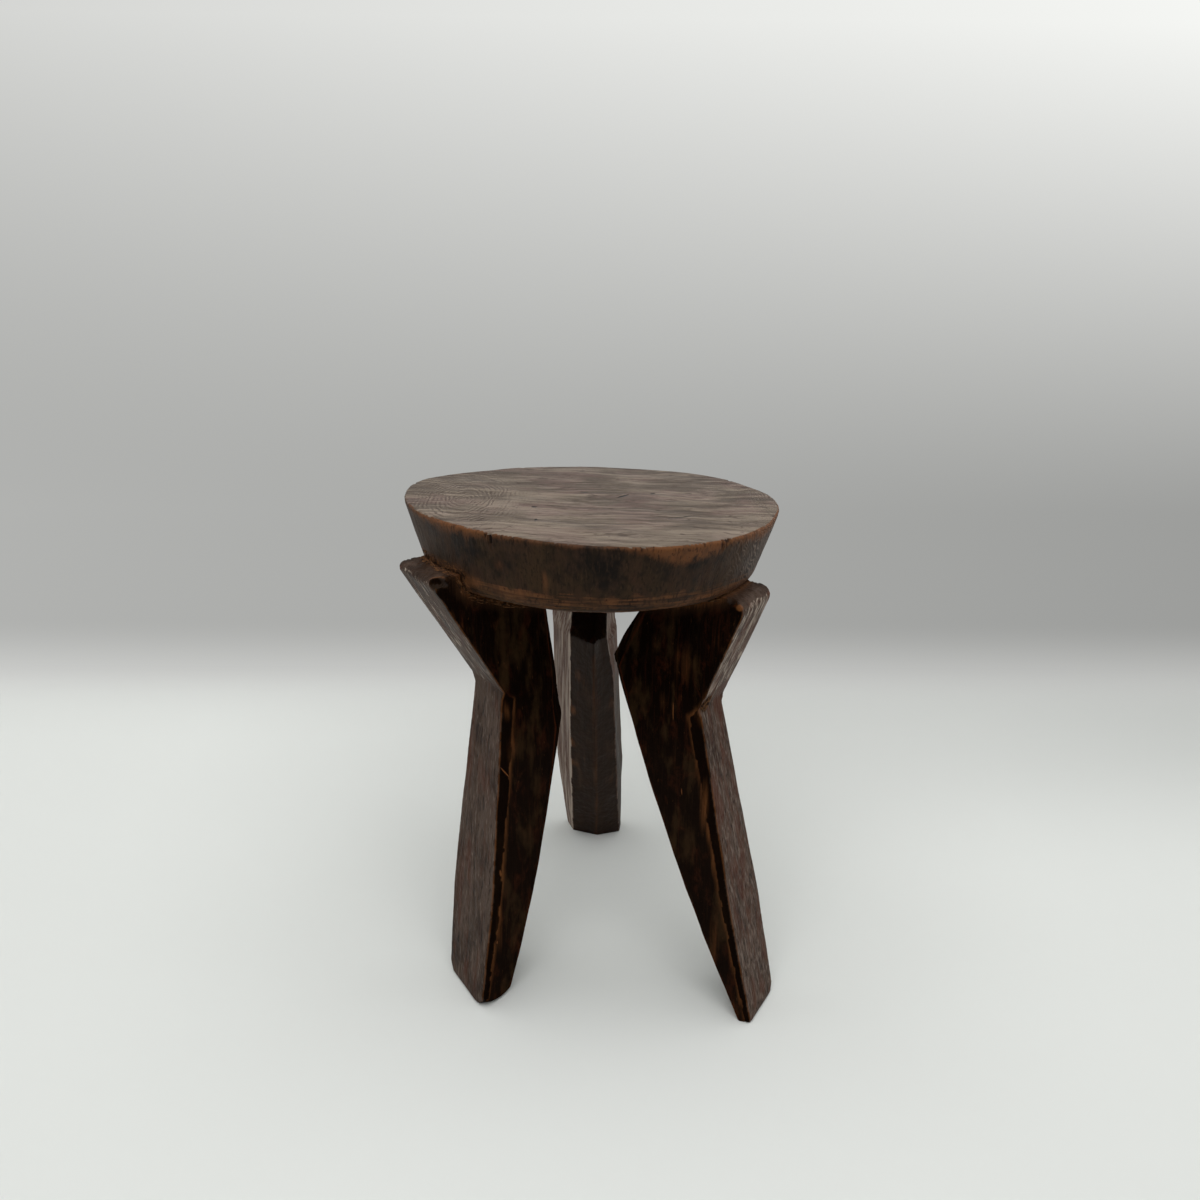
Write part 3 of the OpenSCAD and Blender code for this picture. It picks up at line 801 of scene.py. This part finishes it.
class STOOL_OT_wood(bpy.types.Operator):
    """Mix the wood of the seat, the legs and the torn fibres"""
    bl_idname = "stool.wood"
    bl_label = "Mix the wood"

    def execute(self, context):
        tones = context.scene.stool.wood
        self.top_wood(tones)
        self.side_wood(tones)
        self.leg_wood(tones, "Smoked hardwood, sheltered", 0.0, 0.62)
        self.leg_wood(tones, "Smoked hardwood, greyed", 0.08, 0.56)
        self.fibre_wood(tones)
        return {"FINISHED"}

    def top_wood(self, c):
        """Old hardwood cut across its grain and worn smooth by sitting: a low sheen, and grey-brown tones that are
        partly painted sheen, growth rings round a pith near the left edge, long wavy figure across the rest, and short
        drying checks."""
        t, place, drop = new_wood("Worn hardwood, top", "drop")
        log = add(t, "Mapping", {0: place, "Location": tuple(-v for v in PITH)})
        flow = wandering(t, wandering(t, log, 60, 24), 16, 3.5)
        # Rings across the log, drawn out towards the back, faint and broken, seen again at the far side
        drawn = add(t, "Mapping", {0: wandering(t, log, 22, 5), "Scale": (1, 0.36, 0)})
        bent = add(t, "VectorMath", (drawn,), operation="LENGTH", out="Value")
        far = summed(t, bent, (figure(t, log, (9, 22, 60), 1, 4), 6.0))
        near = add(t, "MapRange", (bent, 50.0, 16.0))
        again = add(t, "MapRange", (bent, 170.0, 190.0, 0.0, 0.8))
        patchy = add(t, "MapRange", (figure(t, log, (6, 14, 60), 13, 4), 0.4, 0.58, 0.15, 1.0))
        ring = meeting(t, lines(t, far, RING_GAP), strongest(t, near, again), patchy)
        streak = figure(t, flow, (70, 8, 60), 4, 6, 0.7, 0.6)
        thin = figure(t, flow, (34, 3.2, 60), 7, 6, 0.5, 0.7)
        broad = figure(t, flow, (48, 22, 60), 9, 5, 0.5)
        ruddy = figure(t, log, (40, 40, 60), 17, 4)
        pores = figure(t, log, (2.2, 3.5, 9), 2, 3)
        back = add(t, "SeparateXYZ", (log,), out=None).outputs["Y"]
        # Thin dark veins follow the contours of two soft patterns, broken here and there
        veins = []
        for size, offset in (((60, 15, 60), 21), ((34, 9, 60), 27)):
            vein = add(t, "Math", (figure(t, flow, size, offset, 2), 0.5), operation="SUBTRACT")
            vein = add(t, "Math", (vein,), operation="ABSOLUTE")
            veins.append(summed(t, vein, (figure(t, log, (12, 16, 60), offset + 10, 2), 0.09)))
        ragged = wandering(t, place, 4, 2.5)
        checks = strongest(t, *(mark(t, ragged, at, (0, 0, math.radians(way)), (long, wide, CHECK_DEPTH))
                                for at, way, long, wide in TOP_CHECKS))

        tone = stained(t, (*c.top_brown, 1),
                       (c.top_dark, broad, 0.52, 0.38, 0.5), (c.top_ruddy, ruddy, 0.46, 0.6, 0.55),
                       (c.top_pale, broad, 0.52, 0.64, 0.5), (c.top_dark, back, 20.0, 110.0, 0.25),
                       (c.top_pale, back, 0.0, -60.0, 0.3), (c.top_pale, streak, 0.52, 0.6, 0.6),
                       (c.top_dark, streak, 0.48, 0.38, 0.6), (c.dry, thin, 0.54, 0.62, 0.5),
                       (c.brown, thin, 0.46, 0.37, 0.55), (c.brown, veins[0], 0.052, 0.04, 0.85),
                       (c.brown, veins[1], 0.052, 0.04, 0.7), (c.brown, ring, 0.2, 0.75, 0.65),
                       (c.top_pale, ring, -0.25, -0.8, 0.4), (c.brown, pores, 0.62, 0.74, 0.5),
                       (c.soot, checks, 0.1, 0.7, 0.95), (c.brown, drop, 1.4, 2.6, 0.3))
        rough = add(t, "MapRange", (broad, 0.3, 0.7, 0.52, 0.4))
        polish(t, tone, rough, 0.16, summed(t, streak, (ring, 0.2), (checks, -2.0), (thin, 0.7)), 0.6)

    def side_wood(self, c):
        """The same wood, smoked nearly black on the seat's side and underneath. Handling has rubbed the rim to bare
        orange-brown, and the turned lower edge, which faces the floor, shows golden streaks along its tool marks,
        partly painted reflection of the floor's light. Along the creases by the legs the side is darkened as painted
        shade."""
        t, place, rim, drop, crease, chip, spot, dust = new_wood("Smoked hardwood, side", "rim", "drop", "crease",
                                                                 "chip", "spot", "dust")
        fibre = figure(t, place, (1.2, 1.2, 15), 0, 4, 0.3)
        fleck = figure(t, place, (1.5, 1.5, 4), 19, 4)
        patch = figure(t, place, (8, 8, 18), 3, 5)
        blotch = figure(t, place, (26, 26, 24), 6, 3)
        ragged = figure(t, place, (7, 7, 16), 8, 5)
        dusty = figure(t, place, (5, 5, 14), 11, 5)
        # Streaks that follow the lower edge, partly painted reflection of the floor: laid out by the way round the seat
        # and the drop below its top
        about = add(t, "Mapping", {0: place, "Location": tuple(-v / MM for v in SEAT_TOP)})
        right, back, _ = add(t, "SeparateXYZ", (about,), out=None).outputs
        front = add(t, "Math", (back, -1.0), operation="MULTIPLY")
        turn = add(t, "Math", (right, front), operation="ARCTAN2")
        lathe = add(t, "CombineXYZ", {0: add(t, "Math", (turn, SIDE_R), operation="MULTIPLY"), 1: drop})
        streak = figure(t, lathe, (30, 1.7, 10), 2, 5, 0.8)
        low = add(t, "MapRange", (summed(t, drop, (patch, 14.0)), 29.0, 38.0))
        # Fine swirling grain round the right end
        swirl = add(t, "Mapping", {0: wandering(t, place, 16, 16), "Scale": (1, 0.4, 0.5)})
        swirl = add(t, "VectorMath", (swirl, (0.9, 0.5, 0.6)), operation="DOT_PRODUCT", out="Value")
        swirl = meeting(t, lines(t, swirl, SWIRL_GAP), add(t, "MapRange", (right, 60.0, 92.0, 0.15, 1.0)))
        covered = summed(t, rim, (ragged, -11.0), (fleck, -5.0))
        # Along the creases by the legs: brown dirt, and nearer in a line of painted shade
        dirt_and_shade = summed(t, crease, (fleck, 9.0))

        tone = stained(t, (*c.soot, 1),
                       (c.olive, blotch, 0.36, 0.66, 0.5), (c.brown, patch, 0.45, 0.62, 0.65),
                       (c.olive, fibre, 0.54, 0.72, 0.35), (c.soot, fibre, 0.47, 0.34, 0.35),
                       (c.grey, (dust, dusty), 0.08, 0.66, 0.95), (c.soot, swirl, 0.3, 0.9, 0.6),
                       (c.dry, swirl, -0.4, -0.95, 0.4), (c.rubbed, (streak, low), 0.4, 0.68, 0.6),
                       (c.rubbed, covered, -7.0, -13.5, 0.7), (c.soot, fleck, 0.47, 0.36, 0.6),
                       (c.brown, ragged, 0.48, 0.62, 0.45), (c.rubbed, (spot, patch), 0.12, 0.55, 0.45),
                       (c.soot, chip, 0.25, 0.9, 0.85), (c.rubbed, dirt_and_shade, 12.0, 5.0, 0.35),
                       (c.soot, dirt_and_shade, 6.5, 4.0, 0.8))
        rough = add(t, "MapRange", (blotch, 0.3, 0.7, 0.5, 0.64))
        polish(t, tone, rough, 0.1, summed(t, fibre, (swirl, 0.12)), 0.3)

    def leg_wood(self, c, name, gloss, roughness):
        """The same wood, split along its grain: near black with red-brown streaks on the sheltered faces, greyed
        outside partly by dust and partly as painted sheen, with dark cracks and dried pale ridges, and rubbed bare
        along the struck corners. Lower down the legs are a little greyer as painted sheen. Soot is laid on as painted
        shade in the creases, the scoop and the back leg's hollow, and the back leg's sides are painted lighter as
        painted light.
        The greyed faces have more sheen."""
        t, place, arris, band, knee, crease, greyed, flat, spot, bowl, lip = new_wood(
            name, "arris", "band", "knee", "crease", "greyed", "flat", "spot", "bowl", "lip")
        x, y, z = add(t, "SeparateXYZ", (place,), out=None).outputs
        # The grain stands upright, but the back leg's follows its slope
        lean = add(t, "MapRange", (y, -1.0, 1.0, 0.0, BACK_SLOPE))
        grain = add(t, "CombineXYZ", {0: x, 1: summed(t, y, (z, lean)), 2: z})
        fibre = figure(t, grain, (1.1, 1.1, 30), 0, 4)
        streak = figure(t, grain, (3.0, 3.0, 60), 3, 4)
        patch = figure(t, grain, (12, 12, 34), 6, 5)
        speck = figure(t, grain, (1.6, 1.6, 5), 9, 4)
        mottle = figure(t, grain, (9, 9, 20), 35, 7, 0.6, 0.68)
        # Above the notch the front legs' figure runs along their arms
        arm = add(t, "CombineXYZ", {0: add(t, "Math", (x,), operation="ABSOLUTE"), 1: y, 2: z})
        turn = Vector(ARM_GRAIN).to_track_quat("Z", "X").to_euler()
        arm = add(t, "Mapping", {0: arm, "Rotation": turn}, vector_type="TEXTURE")
        arm = figure(t, wandering(t, arm, 14, 4), (2.4, 2.4, 18), 41, 5, 0.0, 0.7)
        above = add(t, "MapRange", (z, 214.0, 226.0))
        above = meeting(t, above, add(t, "MapRange", (y, 1.0, -1.0)))
        groove = figure(t, wandering(t, grain, 20, 3), (1.5, 1.5, 20), 15, 4)
        groove = add(t, "Mix", {0: above, 2: groove, 3: arm})

        # Low on the legs a little grey is painted in as painted sheen, in the last coat here
        tone = stained(t, (*c.soot, 1),
                       (c.brown, fibre, 0.5, 0.75, 0.3), (c.red_brown, streak, 0.56, 0.72, 0.25),
                       (c.red_brown, mottle, 0.5, 0.68, 0.5), (c.olive, patch, 0.5, 0.68, 0.5),
                       (c.rubbed, speck, 0.64, 0.78, 0.4), (c.grey, z, 235.0, 150.0, 0.08))
        # The outer faces and the ledges, greyed partly by dust and partly as painted sheen, with bleached ridges on the
        # arms' outer faces alone
        cracks = add(t, "MapRange", (groove, 0.48, 0.36))
        outer = add(t, "MapRange", (greyed, 0.87, 0.98))
        tone = stained(t, tone,
                       (c.brown, greyed, 0.1, 0.9, 1.0), (c.grey, (greyed, patch), 0.3, 0.62, 0.9),
                       (c.dry, (greyed, groove), 0.54, 0.72, 0.45), (c.soot, (cracks, greyed), 0.35, 1.0, 0.75),
                       (c.bleached, (above, outer, greyed, groove), 0.53, 0.63, 0.8),
                       (c.red_brown, (greyed, figure(t, grain, (7, 7, 60), 25, 6)), 0.5, 0.66, 0.6),
                       (c.soot, (greyed, patch), 0.46, 0.36, 0.3))
        # The back leg's greyed sides are painted lighter with long pale streaks, as painted light from the left, and
        # end in a pale edge that is partly wear and partly painted highlight
        pale = add(t, "MapRange", (greyed, 1.1, 1.6))
        edge = add(t, "MapRange", (knee, 5.0, 1.0, 1.0, 1.5))
        tone = stained(t, tone, (c.bleached, (edge, pale, streak), 0.36, 0.66, 0.8))
        # The struck flats stay black, between a thin bare line and a soft brown band
        line = add(t, "MapRange", (arris, 1.8, 0.3))
        soft = add(t, "MapRange", (band, 5.5, 0.4))
        beside = add(t, "MapRange", (flat, 1.0, 0.3, 0.3, 1.0))
        below = add(t, "MapRange", (above, 0.0, 1.0, 1.0, 0.55))
        border = add(t, "MapRange", (knee, 3.5, 0.4))
        smoked = add(t, "Math", (1.0, greyed), operation="SUBTRACT")
        tone = stained(t, tone,
                       (c.soot, flat, 0.3, 0.8, 0.85), (c.rubbed, (line, mottle), 0.25, 0.62, 0.5),
                       (c.rubbed, (soft, beside, below, figure(t, grain, (4, 4, 30), 12, 4)), 0.22, 0.66, 0.5),
                       (c.red_brown, (border, streak, smoked), 0.25, 0.6, 0.6))
        # Places rubbed bare; cuts, sooted or bare; painted shade in the scoop and at the shade spots; and the creases,
        # with brown dirt and a line of painted shade next to the seat
        dark = strongest(t, *(cut(t, place, a, b, wide) for a, b, wide, bare in LEG_CUTS if bare == 0))
        light = strongest(t, *(meeting(t, cut(t, place, a, b, wide), bare)
                               for a, b, wide, bare in LEG_CUTS if bare > 0))
        # Along the creases under the seat: brown dirt, and nearer in a line of painted shade
        dirt_and_shade = summed(t, crease, (fibre, 8.0))
        tone = stained(t, tone,
                       (c.rubbed, (spot, streak), 0.12, 0.6, 0.6), (c.rubbed, lip, 0.2, 0.9, 0.6),
                       (c.soot, bowl, 0.3, 0.75, 0.85), (c.soot, dark, 0.1, 0.6, 1.0), (c.rubbed, light, 0.1, 0.7, 0.8),
                       (c.brown, dirt_and_shade, 14.0, 7.0, 0.75), (c.rubbed, dirt_and_shade, 9.0, 5.0, 0.4),
                       (c.soot, dirt_and_shade, 5.5, 3.5, 0.8))
        rough = add(t, "MapRange", (patch, 0.3, 0.7, roughness - 0.08, roughness + 0.1))
        relief = meeting(t, add(t, "MapRange", (greyed, 0.6, 1.0, 0.25, 1.0)), groove)
        relief = summed(t, relief, (streak, 0.6), (speck, 0.4), (figure(t, grain, (7, 7, 7), 51, 2), 2.2))
        polish(t, tone, rough, gloss, relief, 0.45)

    def fibre_wood(self, c):
        """Raw torn fibres of the same wood, lighter and redder where the smoke didn't reach."""
        t, place = new_wood("Torn fibres")
        patch = figure(t, place, (3, 3, 3), 2, 3)
        polish(t, stained(t, (*c.fibre, 1), (c.soot, patch, 0.42, 0.6, 0.9)), 0.75, 0.1, patch, 0.1)


# The sweep, the lights and the camera

class STOOL_OT_stage(bpy.types.Operator):
    """Lay out the sweep, the lights and the camera"""
    bl_idname = "stool.stage"
    bl_label = "Set the stage"

    def execute(self, context):
        s = context.scene.stool.stage
        self.sweep(s)
        self.lights(context, s)
        self.camera(context)
        context.scene.view_settings.view_transform = "Standard"
        return {"FINISHED"}

    def sweep(self, s):
        """A floor that curves up into a wall behind the stool."""
        bm = bmesh.new()
        bend_y, bend_r, front, half, top = 0.28, 0.25, -2.2, 3.0, 3.0
        edge = bm.edges.new([bm.verts.new((-half, front, 0)), bm.verts.new((half, front, 0))])
        floor = bmesh.ops.extrude_edge_only(bm, edges=[edge])["geom"]
        bmesh.ops.translate(bm, verts=[v for v in floor if isinstance(v, bmesh.types.BMVert)],
                            vec=(0, bend_y - front, 0))
        bent = bmesh.ops.spin(bm, geom=[e for e in floor if isinstance(e, bmesh.types.BMEdge)],
                              cent=(0, bend_y, bend_r), axis=(1, 0, 0), angle=math.radians(90), steps=24)
        wall = bmesh.ops.extrude_edge_only(bm, edges=[e for e in bent["geom_last"]
                                                      if isinstance(e, bmesh.types.BMEdge)])["geom"]
        bmesh.ops.translate(bm, verts=[v for v in wall if isinstance(v, bmesh.types.BMVert)], vec=(0, 0, top))
        bmesh.ops.recalc_face_normals(bm, faces=bm.faces)
        sweep = link("sweep", bm)
        sweep.data.polygons.foreach_set("use_smooth", [True] * len(sweep.data.polygons))
        sweep.data.materials.append(self.paper(s))

    def paper(self, s):
        """Matt white paper. The floor is lit as it lies, and painted darker towards the back right as painted shade.
        The wall glows for the eye and the sheen with painted light in smooth tones, darkest low down and brighter
        towards the top right, whatever light falls on it."""
        material = bpy.data.materials.new("Matt white paper")
        material.use_nodes = True
        t = material.node_tree
        t.nodes.clear()
        place = add(t, "TexCoord", out="Object")
        across, depth, height = add(t, "SeparateXYZ", (place,), out=None).outputs
        # The wall's painted light: tones that vary with height and from left to right
        low = add(t, "MapRange", (height, 0.0, 0.07, 0.62, 0.395), interpolation_type="SMOOTHSTEP")
        high = add(t, "MapRange", (height, 0.165, 0.72), clamp=True)
        high = add(t, "Math", (high, 1.6), operation="POWER")
        tone = add(t, "Math", (high, 0.406, low), operation="MULTIPLY_ADD")
        slope = add(t, "Math", (height, 0.19), operation="MAXIMUM")
        slope = add(t, "Math", (slope, 0.5, -0.165), operation="MULTIPLY_ADD")
        tone = add(t, "Math", (across, slope, tone), operation="MULTIPLY_ADD", use_clamp=True)
        tint = add(t, "VectorMath", {0: tuple(s.wall), "Scale": tone}, operation="SCALE")
        seen = add(t, "Emission", (tint,))
        # Painted shade on the floor: its tone falls off a little towards the bend, more so on the right
        painted_floor_shade = add(t, "Math", (across, 0.19, 0.08), operation="MULTIPLY_ADD")
        back = add(t, "MapRange", (depth, 0.02, 0.3), interpolation_type="SMOOTHSTEP")
        painted_floor_shade = add(t, "Math", (painted_floor_shade, back), operation="MULTIPLY", use_clamp=True)
        ground = add(t, "Mix", {0: painted_floor_shade, 6: (*s.floor, 1), 7: (0, 0, 0, 1)}, data_type="RGBA", out=2)
        lit = add(t, "BsdfDiffuse", {"Color": ground, "Roughness": 0.5})
        eye = add(t, "LightPath", out=None).outputs
        rays = strongest(t, eye["Is Camera Ray"], eye["Is Glossy Ray"], eye["Is Transmission Ray"])
        up = add(t, "MapRange", (height, 0.002, 0.03), interpolation_type="SMOOTHSTEP")
        both = add(t, "MixShader", (meeting(t, rays, up), lit, seen))
        add(t, "OutputMaterial", (both,), out=None)
        return material

    def lights(self, context, s):
        world = bpy.data.worlds.new("Even light")
        world.use_nodes = True
        world.node_tree.nodes["Background"].inputs["Color"].default_value = (1, 1, 1, 1)
        world.node_tree.nodes["Background"].inputs["Strength"].default_value = s.fill
        context.scene.world = world
        for name, place, target, size, power in (
                ("Overhead light", (0, -0.5, 1.5), (0, -0.15, 0), 1.8, s.top_w),
                ("Left light", (-1.2, 0.15, 0.7), (0, 0, 0.2), 1.2, s.side_w),
                ("Right light", (1.2, 0.15, 0.7), (0, 0, 0.2), 1.2, 1.15 * s.side_w)):
            data = bpy.data.lights.new(name, "AREA")
            data.size = size
            data.energy = power
            lamp = bpy.data.objects.new(name, data)
            lamp.location = place
            lamp.rotation_euler = (Vector(target) - Vector(place)).to_track_quat("-Z", "Y").to_euler()
            context.scene.collection.objects.link(lamp)

    def camera(self, context):
        """The photograph's camera: 0.71 m from the seat, looking 19.6 degrees down with a 27 mm lens."""
        data = bpy.data.cameras.new("Camera")
        data.sensor_width = 36
        data.lens = 27
        camera = bpy.data.objects.new("Camera", data)
        yaw, pitch, roll = 0.010227, 0.342779, 0.0072745
        camera.matrix_world = (Matrix.Translation((-0.005, -0.57065, 0.46058)) @ Matrix.Rotation(-yaw, 4, "Z")
                               @ Matrix.Rotation(math.pi / 2 - pitch, 4, "X") @ Matrix.Rotation(roll, 4, "Z"))
        context.scene.collection.objects.link(camera)
        context.scene.camera = camera


class STOOL_PT_panel(bpy.types.Panel):
    """The stool's steps and settings"""
    bl_idname = "STOOL_PT_panel"
    bl_label = "Stool"
    bl_space_type = "VIEW_3D"
    bl_region_type = "UI"
    bl_category = "Stool"

    def draw(self, context):
        for operator in STEPS:
            self.layout.operator(operator.bl_idname)
        for group in ("carving", "wood", "stage"):
            settings = getattr(context.scene.stool, group)
            box = self.layout.box()
            for name in settings.bl_rna.properties.keys():
                if name not in ("rna_type", "name"):
                    box.prop(settings, name)


STEPS = (STOOL_OT_wood, STOOL_OT_seat, STOOL_OT_legs, STOOL_OT_fibres, STOOL_OT_stage)
CLASSES = (StoolCarving, StoolWood, StoolStage, StoolSettings) + STEPS + (STOOL_PT_panel,)


def register():
    for cls in CLASSES:
        bpy.utils.register_class(cls)
    bpy.types.Scene.stool = PointerProperty(type=StoolSettings)


def unregister():
    del bpy.types.Scene.stool
    for cls in reversed(CLASSES):
        bpy.utils.unregister_class(cls)


def main():
    register()
    bpy.ops.stool.wood()
    bpy.ops.stool.seat()
    bpy.ops.stool.legs()
    bpy.ops.stool.fibres()
    bpy.ops.stool.stage()


if __name__ == "__main__":
    main()
